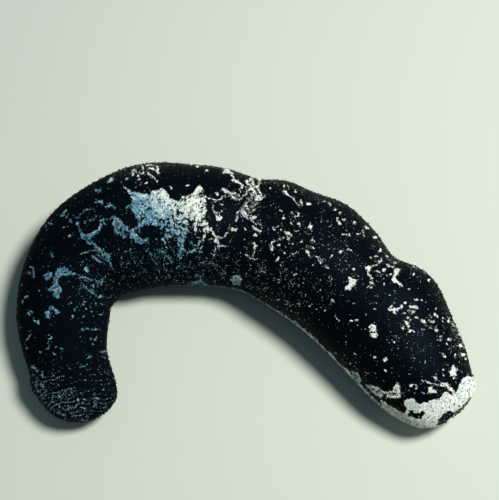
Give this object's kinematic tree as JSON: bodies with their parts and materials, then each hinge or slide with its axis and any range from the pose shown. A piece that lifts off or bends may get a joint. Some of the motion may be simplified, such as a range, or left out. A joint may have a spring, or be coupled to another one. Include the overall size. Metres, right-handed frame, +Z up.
{
  "type": "black sea cucumber model",
  "caption": "Still, life-size model of a black sea cucumber dusted with sand, lying bent on its flat sole with its feeding tentacles under the mouth end.",
  "frame": {"origin": "on the floor, under the middle of the model's box", "axes": "+Z up from the floor; +X along the model's longest side, from the mouth end towards the vent end; +Y towards the outer side of the bend"},
  "size_m": [0.2273, 0.1379, 0.0504],
  "materials": {
    "skin": "wet, finely wrinkled, near black",
    "tentacles": "wet, soft, near black",
    "tube_feet": "wet, soft, dark brown",
    "sand": "fine coral sand, matt, pale"
  },
  "bodies": {
    "root": {"mouth_end": "skin", "fore_trunk": "skin", "mid_trunk": "skin", "hind_trunk": "skin", "vent_end": "skin", "tentacle_crown": "tentacles"}
  },
  "joints": []
}
